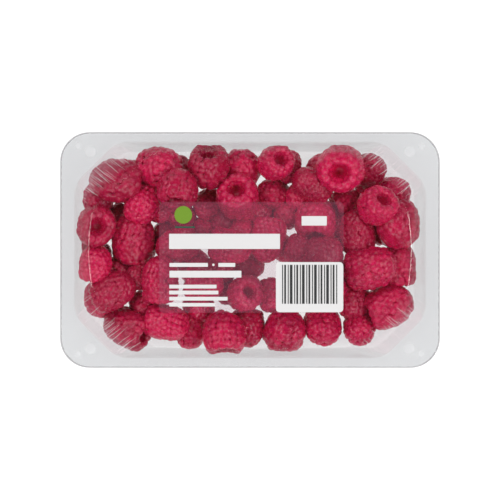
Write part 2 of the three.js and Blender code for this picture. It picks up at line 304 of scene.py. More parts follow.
@dataclass(frozen=True)
class Octagon:
    """A rounded octagon: half its length and width, how far its corners are cut, its vertices' radius, and
    how far the middles of its sides bow outwards."""

    half_length: float
    half_width: float
    cut: float
    radius: float
    bow: float = 0.0

    def inset(self, depth):
        """The same octagon, the depth further in all round."""
        return replace(
            self,
            half_length=self.half_length - depth,
            half_width=self.half_width - depth,
            cut=self.cut - (2 - math.sqrt(2)) * depth,
            radius=self.radius - depth,
        )

    def towards(self, other, share):
        """The octagon that share of the way to the other one."""

        def between(name):
            start, end = getattr(self, name), getattr(other, name)
            return start + (end - start) * share

        return Octagon(*(between(name) for name in ("half_length", "half_width", "cut", "radius", "bow")))

    def quarter(self, across, up, arc_steps, side_steps):
        """Points from the middle of the end at +X round to the middle of the next side."""
        tangent = self.radius * math.tan(math.pi / 8)
        straight = up - self.cut - tangent
        beyond = across - self.cut - tangent
        points = []
        for step in range(side_steps):
            along = step / side_steps
            points.append((across + self.bow * (1 - along * along), straight * along))
        centres = ((across - self.radius, straight), (beyond, up - self.radius))
        for corner, (x, y) in enumerate(centres):
            for step in range(arc_steps + 1):
                turn = math.pi / 4 * (corner + step / arc_steps)
                points.append((x + self.radius * math.cos(turn), y + self.radius * math.sin(turn)))
        for step in range(side_steps - 1, 0, -1):
            along = step / side_steps
            points.append((beyond * along, up + self.bow * (1 - along * along)))
        return points

    def outline(self, height, arc_steps=8, side_steps=6):
        """The whole outline at that height, anticlockwise."""
        points = []
        for turn in range(4):
            across, up = self.half_length, self.half_width
            if turn % 2:
                across, up = up, across
            spin = Matrix.Rotation(math.pi / 2 * turn, 3, "Z")
            quarter = self.quarter(across, up, arc_steps, side_steps)
            points += [spin @ Vector((x, y, height)) for x, y in quarter]
        return points

    def reach(self, along):
        """How far out the corner between +X and +Y reaches, that far along its cut from the cut's middle."""
        root = math.sqrt(0.5)
        points = [
            ((y - x) * root, (x + y) * root)
            for x, y in self.quarter(self.half_length, self.half_width, 8, 2)
        ]
        middle = (self.half_width - self.half_length) * root
        for (a, out_a), (b, out_b) in zip(points, points[1:]):
            if a <= along + middle <= b and b > a:
                return out_a + (out_b - out_a) * (along + middle - a) / (b - a)
        return points[-1][1]


def rounded_rectangle(length, width, radius):
    """A rounded rectangle, as an octagon whose vertices' curves meet."""
    return Octagon(length / 2, width / 2, (2 - math.sqrt(2)) * radius, radius)


MOUTH = Octagon(86.7 * MM, 53.3 * MM, 21 * MM, 14 * MM)
PANEL = Octagon(78.6 * MM, 47.9 * MM, 29.6 * MM, 12 * MM, 0.9 * MM)


class PackSizes(bpy.types.PropertyGroup):
    """Sizes of the tray and the lid."""

    length: bpy.props.FloatProperty(
        name="Length", description="Length over the lid's skirt", default=LID_HIGH[0] - LID_LOW[0],
        unit="LENGTH",
    )
    width: bpy.props.FloatProperty(
        name="Width", description="Width over the lid's skirt", default=LID_HIGH[1] - LID_LOW[1],
        unit="LENGTH",
    )
    corner: bpy.props.FloatProperty(
        name="Corner radius", description="Radius of the flange's corners", default=14.5 * MM, unit="LENGTH"
    )
    depth: bpy.props.FloatProperty(
        name="Tray depth", description="Height of the tray's flange", default=TRAY_HIGH[2] - TRAY_LOW[2],
        unit="LENGTH",
    )
    rise: bpy.props.FloatProperty(
        name="Lid rise", description="How far the lid's panel stands above its flange", default=10 * MM,
        unit="LENGTH",
    )
    wall: bpy.props.FloatProperty(
        name="Wall", description="Thickness of the plastic sheet", default=0.5 * MM, unit="LENGTH"
    )
    flute_pitch: bpy.props.FloatProperty(
        name="Flute pitch", description="Distance between the flutes on the lid's corners", default=0.8 * MM,
        unit="LENGTH",
    )
    clear: bpy.props.FloatVectorProperty(
        name="Clear sheet", description="Light that one face of the sheet lets through",
        default=(0.972, 0.972, 0.973), subtype="COLOR",
    )
    # The flange, the skirt, the tray's sides and the lid's sides let less light through than the clear sheet.
    # This is painted shade, standing in for the shadow and the dark refraction at the pack's edges and walls.
    flange: bpy.props.FloatVectorProperty(
        name="Flange", description="Light that one face of the flange lets through",
        default=(0.917, 0.92, 0.924), subtype="COLOR",
    )
    skirt: bpy.props.FloatVectorProperty(
        name="Skirt", description="Light that one face of the skirt lets through",
        default=(0.52, 0.515, 0.525), subtype="COLOR",
    )
    side: bpy.props.FloatVectorProperty(
        name="Tray sides", description="Light that one face of the tray's sides lets through",
        default=(0.895, 0.897, 0.9), subtype="COLOR",
    )
    slope: bpy.props.FloatVectorProperty(
        name="Lid sides", description="Light that one face of the lid's sides lets through",
        default=(0.94, 0.938, 0.94), subtype="COLOR",
    )


class BerryLooks(bpy.types.PropertyGroup):
    """Sizes and colours of the raspberries."""

    spacing: bpy.props.FloatProperty(
        name="Drupelet spacing", description="Distance between the middles of two drupelets",
        default=3.15 * MM, unit="LENGTH",
    )
    swell: bpy.props.FloatProperty(
        name="Drupelet height", description="How far a drupelet stands out from its middle",
        default=1.3 * MM, unit="LENGTH",
    )
    ripe: bpy.props.FloatVectorProperty(
        name="Ripe", description="Colour of a drupelet in the light", default=(0.61, 0.002, 0.07),
        subtype="COLOR",
    )
    # The darkest colour serves the darkest berries and also the painted shade in the creases between
    # drupelets.
    deep_and_crease_shade: bpy.props.FloatVectorProperty(
        name="Deep", description="Colour of the darkest berries and of the creases",
        default=(0.37, 0.003, 0.04), subtype="COLOR",
    )
    # Pale also gives the painted sheen on the drupelets' crests.
    pale: bpy.props.FloatVectorProperty(
        name="Pale", description="Colour of the bloom and of unripe drupelets", default=(0.88, 0.13, 0.3),
        subtype="COLOR",
    )
    hair: bpy.props.FloatVectorProperty(
        name="Hair", description="Colour of the fine hairs", default=(0.6, 0.32, 0.25), subtype="COLOR"
    )


class LabelLooks(bpy.types.PropertyGroup):
    """Sizes and colours of the label."""

    corner: bpy.props.FloatProperty(
        name="Corner radius", description="Radius of the label's corners", default=2.5 * MM, unit="LENGTH"
    )
    film: bpy.props.FloatVectorProperty(
        name="Film", description="Light that one face of the film lets through",
        default=(0.93, 0.935, 0.94), subtype="COLOR",
    )
    white: bpy.props.FloatVectorProperty(
        name="White ink", description="Colour of the strips and the panel", default=(0.71, 0.7, 0.7),
        subtype="COLOR",
    )
    green: bpy.props.FloatVectorProperty(
        name="Green ink", description="Colour of the disc", default=(0.18, 0.32, 0.028), subtype="COLOR"
    )
    dark_green: bpy.props.FloatVectorProperty(
        name="Dark green ink", description="Colour of the line under the disc", default=(0.02, 0.09, 0.06),
        subtype="COLOR",
    )
    black: bpy.props.FloatVectorProperty(
        name="Black ink", description="Colour of the bars on the panel", default=(0.035, 0.035, 0.037),
        subtype="COLOR",
    )


class StageLooks(bpy.types.PropertyGroup):
    """The floor, the lights and the camera."""

    floor: bpy.props.FloatVectorProperty(
        name="Floor", description="Colour of the floor", default=(0.22, 0.22, 0.22), subtype="COLOR"
    )
    glow: bpy.props.FloatProperty(
        name="Glow", description="How brightly the lit floor shines", default=0.88, min=0
    )
    view_width: bpy.props.FloatProperty(
        name="View width", description="Width that the picture takes in at the flange's height",
        default=246.3 * MM, unit="LENGTH",
    )
    lens: bpy.props.FloatProperty(
        name="Lens", description="Focal length in millimetres", default=135
    )


class Signal:
    """A node's output, on which sums are written as plain Python."""

    def __init__(self, finish, socket):
        self.finish = finish
        self.socket = socket

    def sum(self, operation, left, right):
        """Adds a Math node."""
        return self.finish.node("ShaderNodeMath", {"operation": operation}, {0: left, 1: right})

    def __add__(self, other):
        return self.sum("ADD", self, other)

    def __radd__(self, other):
        return self.sum("ADD", other, self)

    def __sub__(self, other):
        return self.sum("SUBTRACT", self, other)

    def __rsub__(self, other):
        return self.sum("SUBTRACT", other, self)

    def __mul__(self, other):
        return self.sum("MULTIPLY", self, other)

    def __rmul__(self, other):
        return self.sum("MULTIPLY", other, self)

    def __pow__(self, other):
        return self.sum("POWER", self, other)

    def smooth(self, low, high):
        """0 below low, 1 above high and a soft step between."""
        return self.finish.node(
            "ShaderNodeMapRange",
            {"interpolation_type": "SMOOTHSTEP"},
            {"Value": self, "From Min": low, "From Max": high},
        )


class Finish:
    """A material made of nodes."""

    def __init__(self, name):
        self.material = bpy.data.materials.new(name)
        self.material.use_nodes = True
        self.tree = self.material.node_tree
        self.tree.nodes.clear()

    def node(self, kind, settings=None, sockets=None, output=0):
        """Adds a node, its settings first and then its sockets' values or links, and returns one output."""
        made = self.tree.nodes.new(kind)
        for name, value in (settings or {}).items():
            setattr(made, name, value)
        for name, value in (sockets or {}).items():
            if isinstance(value, Signal):
                self.tree.links.new(value.socket, made.inputs[name])
            else:
                made.inputs[name].default_value = value
        return Signal(self, made.outputs[output])

    def mix(self, share, first, second):
        """A colour between two others."""
        return self.node(
            "ShaderNodeMix", {"data_type": "RGBA"}, {"Factor": share, 6: first, 7: second}, output=2
        )

    def noise(self, scale, detail=2.0):
        """A cloudy value from 0 to 1, at that many cells a metre."""
        sockets = {"Scale": scale, "Detail": detail, "Roughness": 0.5, "Vector": self.place()}
        return self.node("ShaderNodeTexNoise", None, sockets)

    def place(self):
        """Where the surface is, on the piece itself."""
        return self.node("ShaderNodeTexCoord", None, None, output="Object")

    def painted(self, name):
        """A value that the mesh holds at each of its points."""
        return self.node("ShaderNodeAttribute", {"attribute_name": name}, None, output="Fac")

    def facing(self):
        """0 where the surface is seen square on, 1 at its edge."""
        return self.node("ShaderNodeLayerWeight", None, {"Blend": 0.5}, output="Facing")

    def done(self, shader):
        """Sends the shader to the surface and returns the material."""
        out = self.tree.nodes.new("ShaderNodeOutputMaterial")
        self.tree.links.new(shader.socket, out.inputs["Surface"])
        return self.material


def rgba(colour):
    """The colour with full alpha."""
    return (*colour, 1.0)


def clear_sheet(
    name, tint, edge=(0.77, 0.768, 0.772), haze=0.001, polish=1.0, haze_colour=(0.9, 0.9, 0.91), fade=None
):
    """Clear plastic: light goes straight through, but darkens and mirrors more where it is seen edge on.

    Its haze has the colour that haze_colour gives, and fades out above the height that fade gives.
    """
    finish = Finish(name)
    ripple = finish.noise(90, 2)
    bump = finish.node("ShaderNodeBump", None, {"Strength": 0.1, "Distance": 0.0005, "Height": ripple})
    facing = finish.facing()
    flat = finish.node("ShaderNodeBsdfTransparent", None, {"Color": rgba(tint)})
    steep = finish.node("ShaderNodeBsdfTransparent", None, {"Color": rgba(edge)})
    through = finish.node("ShaderNodeMixShader", None, {0: facing**3, 1: flat, 2: steep})
    cloud = finish.node(
        "ShaderNodeBsdfPrincipled", None, {"Base Color": rgba(haze_colour), "Roughness": 0.8 + 0.1 * ripple}
    )
    mirror = finish.node(
        "ShaderNodeBsdfPrincipled",
        None,
        {
            "Base Color": (1.0, 1.0, 1.0, 1.0),
            "Metallic": 1.0,
            "Roughness": 0.05 + 0.06 * ripple,
            "Normal": bump,
        },
    )
    clouded = haze + haze * ripple
    if fade:
        height = finish.node("ShaderNodeSeparateXYZ", None, {0: finish.place()}, output=2)
        clouded = clouded * (1 - height.smooth(fade, fade + HAZE_FADE))
    body = finish.node("ShaderNodeMixShader", None, {0: clouded, 1: through, 2: cloud})
    share = polish * (0.03 + 0.17 * facing**5)
    return finish.done(finish.node("ShaderNodeMixShader", None, {0: share, 1: body, 2: mirror}))


def ink(name, colour, tone=0.05):
    """Printing ink: nearly even, with the fine mottle of a press."""
    finish = Finish(name)
    mottle = finish.noise(2600, 3)
    shade = tuple(value * (1 - tone) for value in colour)
    surface = finish.node(
        "ShaderNodeBsdfPrincipled",
        None,
        {
            "Base Color": finish.mix(mottle, rgba(shade), rgba(colour)),
            "Roughness": 0.36 + 0.12 * mottle,
            "Specular IOR Level": 0.35,
        },
    )
    return finish.done(surface)


def label_film(looks):
    """See-through film, a little darker and hazier than the sheet that it sticks to; the pink of its haze is
    painted light of the berries scattered in the film.
    """
    finish = Finish("label film")
    mottle = finish.noise(900, 3)
    through = finish.node("ShaderNodeBsdfTransparent", None, {"Color": rgba(looks.film)})
    # Partly real haze of the film; its pink is painted light of the berries, scattered in the film.
    haze_and_berry_glow = finish.node(
        "ShaderNodeBsdfPrincipled",
        None,
        {
            "Base Color": finish.mix(mottle, (0.96, 0.3, 0.48, 1.0), (1.0, 0.38, 0.58, 1.0)),
            "Roughness": 0.3 + 0.1 * mottle,
            "IOR": 1.48,
        },
    )
    share = 0.033 + 0.4 * finish.facing() ** 5 + 0.015 * mottle
    return finish.done(finish.node("ShaderNodeMixShader", None, {0: share, 1: through, 2: haze_and_berry_glow}))


def berry_skin(looks):
    """Ripe raspberry: every berry and drupelet has its own tone, with painted shade in the creases, and a
    soft bloom that is partly real and partly painted sheen on the drupelets' crests.
    """
    finish = Finish("raspberry skin")
    crease = finish.painted("crease")
    tone = finish.painted("tone")
    ripeness = finish.painted("ripeness")
    cloud = finish.noise(160, 3)
    grain = finish.noise(1300, 3)
    depth = (0.8 * ripeness + 0.4 * tone + 0.5 * cloud - 0.38).smooth(0.0, 1.0)
    flesh = finish.mix(depth, rgba(looks.ripe), rgba(looks.deep_and_crease_shade))
    # Painted shade: the colour goes towards the darkest colour in the creases between drupelets.
    lit = finish.mix(0.3 - 0.3 * crease.smooth(0.0, 0.5), flesh, rgba(looks.deep_and_crease_shade))
    # Pale flecks, stronger on the drupelets' crests and on less ripe berries: partly real bloom, partly
    # painted sheen on the crests.
    bloom_and_crest_sheen = (grain * (0.25 + 0.75 * crease)).smooth(0.28, 0.66) * (1.0 - 0.55 * ripeness)
    colour = finish.mix(0.34 * bloom_and_crest_sheen, lit, rgba(looks.pale))
    bump = finish.node("ShaderNodeBump", None, {"Strength": 0.12, "Distance": 0.0003, "Height": grain})
    skin = finish.node(
        "ShaderNodeBsdfPrincipled",
        None,
        {
            "Base Color": colour,
            "Roughness": 0.16 + 0.2 * grain,
            "Normal": bump,
            "Subsurface Weight": 0.25,
            "Subsurface Radius": (1.0, 0.2, 0.25),
            "Subsurface Scale": 0.0012,
            "Specular IOR Level": 0.38,
            "Sheen Weight": 0.02,
            "Sheen Roughness": 0.4,
            "Sheen Tint": (1.0, 0.6, 0.7, 1.0),
        },
    )
    return finish.done(skin)


def hair_skin(looks):
    """The fine hairs, paler at random."""
    finish = Finish("raspberry hair")
    cloud = finish.noise(700, 1)
    brown = tuple(value * 0.6 for value in looks.hair)
    surface = finish.node(
        "ShaderNodeBsdfPrincipled",
        None,
        {"Base Color": finish.mix(cloud, rgba(brown), rgba(looks.hair)), "Roughness": 0.5 + 0.1 * cloud},
    )
    return finish.done(surface)


def link(obj, *materials):
    """Puts a new piece in the scene with its materials."""
    bpy.context.scene.collection.objects.link(obj)
    for material in materials:
        obj.data.materials.append(material)
    return obj


def piece(name, points, faces, *materials, smooth=35):
    """A mesh object from points and faces, smooth up to that angle in degrees."""
    mesh = bpy.data.meshes.new(name)
    mesh.from_pydata([tuple(point) for point in points], [], faces)
    mesh.update()
    obj = link(bpy.data.objects.new(name, mesh), *materials)
    soften(mesh, smooth)
    return obj


def soften(mesh, angle):
    """Shades the mesh smooth, but for edges sharper than that angle in degrees."""
    mesh.shade_smooth()
    mesh.set_sharp_from_angle(angle=math.radians(angle))


def skin(rings, cap_first=False, cap_last=False):
    """Points and faces of a sheet through rings of points, with a fan over either end."""
    count = len(rings[0])
    points = [point for ring in rings for point in ring]
    faces = []
    for k in range(len(rings) - 1):
        for i in range(count):
            j = (i + 1) % count
            faces.append((k * count + i, k * count + j, (k + 1) * count + j, (k + 1) * count + i))
    if cap_first:
        points.append(sum(rings[0], Vector()) / count)
        faces += [(len(points) - 1, (i + 1) % count, i) for i in range(count)]
    if cap_last:
        points.append(sum(rings[-1], Vector()) / count)
        start = (len(rings) - 1) * count
        faces += [(len(points) - 1, start + i, start + (i + 1) % count) for i in range(count)]
    return points, faces


def shrunk(ring, share):
    """The ring of points, drawn in towards its middle."""
    return [Vector((point.x * share, point.y * share, point.z)) for point in ring]


def thicken(obj, wall):
    """Gives a sheet its wall, on the side behind its faces."""
    solid = obj.modifiers.new("wall", "SOLIDIFY")
    solid.thickness = wall
    solid.offset = -1
    solid.use_even_offset = True
    bake_modifiers(obj)
    soften(obj.data, 25)


def bake_modifiers(obj):
    """Turns the modifiers into the mesh itself."""
    graph = bpy.context.evaluated_depsgraph_get()
    mesh = bpy.data.meshes.new_from_object(obj.evaluated_get(graph))
    old = obj.data
    obj.modifiers.clear()
    obj.data = mesh
    bpy.data.meshes.remove(old)


def flange_top(sizes):
    """The height of the lid's flange."""
    return sizes.depth + SEAT_GAP + sizes.wall


def lid_top(sizes):
    """The height of the lid's panel."""
    return flange_top(sizes) + sizes.rise


def lid_profile(sizes):
    """The lid's side as (octagon, height) pairs, from the panel's edge down to the flange."""
    flange = flange_top(sizes)
    top = lid_top(sizes)
    return [(PANEL.towards(MOUTH, share), top + (flange - top) * fall) for share, fall in LID_SIDE]


class PUNNET_OT_tray(bpy.types.Operator):
    """Makes the clear tray with its rounded foot, drafted walls and flange"""

    bl_idname = "punnet.tray"
    bl_label = "Tray"

    def execute(self, context):
        sizes = context.scene.punnet_pack
        floor = MOUTH.inset(TRAY_DRAFT)
        rim = rounded_rectangle(
            sizes.length - 2 * (sizes.wall + SKIRT_GAP),
            sizes.width - 2 * (sizes.wall + SKIRT_GAP),
            sizes.corner - sizes.wall - SKIRT_GAP,
        )
        underside = sizes.depth - sizes.wall
        foot = floor.inset(FOOT_RADIUS).outline(0)
        rings = [shrunk(foot, 0.5)]
        for inner in (5 * MM, 0.4 * MM):
            rings.append(floor.inset(FOOT_RADIUS + inner).outline(0))
        steps = 6
        for step in range(steps + 1):
            turn = math.pi / 2 * step / steps
            inset = FOOT_RADIUS * (1 - math.sin(turn))
            rings.append(floor.inset(inset).outline(FOOT_RADIUS * (1 - math.cos(turn))))
        wall_top = underside - 0.8 * MM
        for step in range(1, steps + 1):
            share = step / steps
            height = FOOT_RADIUS + (wall_top - FOOT_RADIUS) * share
            rings.append(floor.towards(MOUTH, 0.97 * share).outline(height))
        # The mouth bends over into the flange
        for outwards, below in ((0.1 * MM, 0.1 * MM), (0.25 * MM, 0), (0.6 * MM, 0)):
            rings.append(MOUTH.inset(-outwards).outline(underside - below))
        rings.append(rim.outline(underside))
        points, faces = skin(rings, cap_first=True)
        looks = {
            "middle": clear_sheet("tray sheet", sizes.clear, polish=0.4),
            "flange": clear_sheet("tray flange", sizes.flange),
            "side": clear_sheet("tray sides", sizes.side, polish=0.4),
        }
        parts = list(looks)
        tray = piece("tray_shell", points, faces, *looks.values())
        # The flange has a look of its own, and so do the walls and the floor outside its clear middle; their
        # darker tints are painted shade
        for number, face in enumerate(tray.data.polygons):
            heights = [tray.data.vertices[i].co.z for i in face.vertices]
            part = "middle"
            if min(heights) > underside - 0.1 * MM:
                part = "flange"
            elif len(foot) <= number < len(faces) - len(foot):
                part = "side"
            face.material_index = parts.index(part)
        thicken(tray, sizes.wall)
        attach(tray, "root")
        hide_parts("tray")
        return {"FINISHED"}


class PUNNET_OT_lid(bpy.types.Operator):
    """Makes the clear lid with its raised panel, fluted corners, skirt and stacking nubs"""

    bl_idname = "punnet.lid"
    bl_label = "Lid"

    def execute(self, context):
        sizes = context.scene.punnet_pack
        looks = {
            "panel": clear_sheet("lid sheet", sizes.clear, polish=0.45),
            # The flange, skirt and sides take darker tints that are painted shade.
            "flange": clear_sheet("lid flange", sizes.flange, polish=0.7),
            "skirt": clear_sheet("lid skirt", sizes.skirt),
            "side": clear_sheet("lid sides", sizes.slope, polish=0.5),
            # Painted reflection: the corners' pink haze, fading out upwards, stands in for the hazy
            # reflection over the berries there, tinted by their light.
            "corner": clear_sheet(
                "lid corners",
                sizes.slope,
                haze=0.045,
                polish=0.12,
                haze_colour=(0.92, 0.66, 0.74),
                fade=sizes.depth + 2 * MM,
            ),
            "end edge": clear_sheet("lid end edges", sizes.clear, polish=1.6),
            "side edge": clear_sheet("lid side edges", sizes.clear, polish=0.12),
        }
        lid = self.sheet(sizes, looks)
        # Painted reflection: the flutes' strong pale pink haze stands in for the light that the curved ribs
        # reflect and bend.
        ribbed = clear_sheet("lid flutes", (0.99, 0.99, 0.99), haze=0.34, polish=0.5, haze_colour=(0.95, 0.84, 0.88))
        flutes = self.flutes(sizes, ribbed)
        domed = clear_sheet("lid nubs", (0.998, 0.998, 0.998), edge=(0.95, 0.95, 0.95), haze=0.05, polish=0.3)
        nubs = self.nubs(sizes, domed)
        for obj in (lid, flutes, nubs):
            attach(obj, "root")
        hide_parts("lid")
        return {"FINISHED"}

    def sheet(self, sizes, looks):
        """The lid itself, with a look for each part of it."""
        rim = rounded_rectangle(sizes.length, sizes.width, sizes.corner)
        top = flange_top(sizes)
        side = lid_profile(sizes)
        crown = side[2][1]
        first = side[0][0].outline(side[0][1])
        rings = [shrunk(first, 0.5), side[0][0].inset(0.4 * MM).outline(side[0][1])]
        rings += [shape.outline(height) for shape, height in side]
        rings.append(MOUTH.inset(-0.5 * MM).outline(top))
        rings.append(rim.inset(1.2 * MM).outline(top))
        steps = 4
        for step in range(steps + 1):
            turn = math.pi / 2 * step / steps
            inset = SKIRT_BEND * (1 - math.sin(turn))
            rings.append(rim.inset(inset).outline(top - SKIRT_BEND * (1 - math.cos(turn))))
        rings.append(rim.outline(top - SKIRT_HEIGHT))
        points, faces = skin(rings, cap_first=True)
        faces = [tuple(reversed(face)) for face in faces]
        parts = list(looks)
        lid = piece("lid_shell", points, faces, *looks.values())
        for face in lid.data.polygons:
            heights = [lid.data.vertices[i].co.z for i in face.vertices]
            endwise, sidewise = abs(face.normal.x), abs(face.normal.y)
            part = "panel"
            if min(heights) < top - 0.3 * MM:
                part = "skirt"
            elif max(heights) < top + 0.05 * MM:
                part = "flange"
            elif min(heights) < crown:
                corner = min(endwise, sidewise) > 0.5 * max(endwise, sidewise)
                part = "corner" if corner else "side"
            elif min(heights) < side[0][1]:
                part = "end edge" if endwise > 1.5 * sidewise else "side edge"
            face.material_index = parts.index(part)
        thicken(lid, sizes.wall)
        return lid

    def flutes(self, sizes, material):
        """Fine half-round ribs that run down the four corner facets, a little bent and uneven."""
        flange = flange_top(sizes)
        rng = random.Random(31)
        points, faces = [], []
        root = math.sqrt(0.5)
        count = int(2 * FLUTE_SPAN / sizes.flute_pitch)
        steps = 7
        for sign_x, sign_y in QUADRANTS:
            for number in range(count + 1):
                if rng.random() < FLUTES_MISSING:
                    continue
                shift = rng.uniform(-FLUTE_SHIFT, FLUTE_SHIFT) * MM
                along = -FLUTE_SPAN + number * sizes.flute_pitch + shift
                lean = rng.uniform(-FLUTE_BEND, FLUTE_BEND) * MM
                bend = rng.uniform(-FLUTE_BEND, FLUTE_BEND) * MM
                start, end = rng.uniform(0.05, 0.55), rng.uniform(0.6, 0.96)
                path = []
                for step in range(steps + 1):
                    share = start + (end - start) * step / steps
                    shape = PANEL.towards(MOUTH, share)
                    height = flange + sizes.rise * (1 - FACET_FALL[0] - FACET_FALL[1] * share)
                    sway = along + lean * share + bend * math.sin(math.pi * share)
                    out = shape.reach(sway)
                    middle = (shape.half_width - shape.half_length) * root
                    x = (out - sway - middle) * root
                    y = (out + sway + middle) * root
                    path.append(Vector((x * sign_x, y * sign_y, height)))
                across = Vector((-sign_x, sign_y, 0)).normalized()
                self.rib(points, faces, path, across, rng.uniform(0.35, 0.95))
        return piece("lid_flutes", points, faces, material)

    def rib(self, points, faces, path, across, size):
        """Adds one rib along the path, which swells in the middle and thins out at its ends."""
        sides = 6
        start = len(points)
        for k, point in enumerate(path):
            ahead = path[min(k + 1, len(path) - 1)] - path[max(k - 1, 0)]
            up = ahead.cross(across).normalized()
            if up.z < 0:
                up = -up
            swell = size * math.sin(math.pi * (0.12 + 0.76 * k / (len(path) - 1)))
            for side in range(sides):
                turn = 2 * math.pi * side / sides
                points.append(
                    point
                    + across * (FLUTE_HALF_WIDTH * swell * math.cos(turn))
                    + up * (FLUTE_LIFT + FLUTE_HALF_HEIGHT * swell * math.sin(turn))
                )
        for k in range(len(path) - 1):
            for i in range(sides):
                j = (i + 1) % sides
                a = start + k * sides
                faces.append((a + i, a + j, a + sides + j, a + sides + i))
        faces.append(tuple(start + i for i in reversed(range(sides))))
        end = start + (len(path) - 1) * sides
        faces.append(tuple(end + i for i in range(sides)))

    def nubs(self, sizes, material):
        """Round domes on the flange's corners."""
        top = flange_top(sizes) + 0.02 * MM
        points, faces = [], []
        steps, sides = 6, 24
        for x, y, radius, rise in NUBS:
            for sign_x, sign_y in QUADRANTS:
                centre = Vector((x * sign_x * MM, y * sign_y * MM, top))
                rings = []
                for step in range(steps + 1):
                    turn = math.pi / 2 * step / steps
                    out = radius * MM * (math.cos(turn) if step < steps else 0.04)
                    ring = [
                        centre
                        + Vector((out * math.cos(a), out * math.sin(a), rise * MM * math.sin(turn)))
                        for a in (2 * math.pi * i / sides for i in range(sides))
                    ]
                    rings.append(ring)
                dome_points, dome_faces = skin(rings, cap_first=True, cap_last=True)
                faces += [tuple(i + len(points) for i in face) for face in dome_faces]
                points += dome_points
        return piece("lid_nubs", points, faces, material)


def plate(low, high, corner, bottom, thickness, steps=6):
    """Points and faces of a thin plate with round corners, from its lower left to its upper right."""
    (x0, y0), (x1, y1) = low, high
    corner = min(corner, (x1 - x0) / 2, (y1 - y0) / 2)
    left, right = x0 + corner, x1 - corner
    near, far = y0 + corner, y1 - corner
    outline = []
    for turn, (x, y) in enumerate(((right, far), (left, far), (left, near), (right, near))):
        for step in range(steps + 1):
            angle = math.pi / 2 * (turn + step / steps)
            outline.append((x + corner * math.cos(angle), y + corner * math.sin(angle)))
    rings = [[Vector((x, y, z)) for x, y in outline] for z in (bottom, bottom + thickness)]
    return skin(rings, cap_first=True, cap_last=True)


def printed(name, marks, material, bottom):
    """One piece of print: every mark is (low corner, high corner, corner radius) in millimetres."""
    points, faces = [], []
    for low, high, corner in marks:
        low, high = [value * MM for value in low], [value * MM for value in high]
        more_points, more_faces = plate(low, high, corner * MM, bottom, INK_THICKNESS)
        faces += [tuple(i + len(points) for i in face) for face in more_faces]
        points += more_points
    obj = piece(name, points, faces, material, smooth=30)
    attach(obj, "root")
    return obj


class PUNNET_OT_label(bpy.types.Operator):
    """Makes the see-through label and the plain shapes that are printed on it"""

    bl_idname = "punnet.label"
    bl_label = "Label"

    def execute(self, context):
        looks = context.scene.punnet_label
        points, faces = plate(
            LABEL_LOW[:2], LABEL_HIGH[:2], looks.corner, LABEL_LOW[2], LABEL_HIGH[2] - LABEL_LOW[2], steps=8
        )
        film = piece("label_film", points, faces, label_film(looks), smooth=30)
        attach(film, "root")
        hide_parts("label")

        top = LABEL_HIGH[2] + INK_LIFT
        white = ink("white ink", looks.white)
        printed("label_bars_white", WHITE_STRIPS, white, top)
        printed("label_dot_white", [WHITE_DOT], white, top)
        printed("label_panel", [WHITE_PANEL], ink("panel ink", looks.white, 0.03), top)
        printed("label_disc", [GREEN_DISC], ink("green ink", looks.green, 0.25), top)
        printed("label_line_green", [GREEN_LINE], ink("dark green ink", looks.dark_green), top)
        dark = ink("black ink", looks.black, 0.2)
        printed("label_bars_dark", self.bars(), dark, top + INK_THICKNESS)
        return {"FINISHED"}

    def bars(self):
        """The plain dark bars on the panel, side by side."""
        marks = []
        x = BARS_START
        while x < BARS_STOP:
            wide = BAR_WIDTHS[len(marks) % len(BAR_WIDTHS)]
            gap = BAR_GAPS[len(marks) % len(BAR_GAPS)]
            marks.append(((x, BARS_LOW), (x + wide, BARS_HIGH), BAR_CORNER))
            x += wide + gap
        return marks


def along_path(path, spacing):
    """Points evenly along a path, about that far apart, from its start to its end."""
    lengths = [math.dist(a, b) for a, b in zip(path, path[1:])]
    total = sum(lengths)
    count = round(total / spacing)
    for number in range(count + 1):
        left = total * number / count
        for (a, b), length in zip(zip(path, path[1:]), lengths):
            if left <= length + 1e-9:
                share = left / length
                yield tuple(p + (q - p) * share for p, q in zip(a, b))
                break
            left -= length


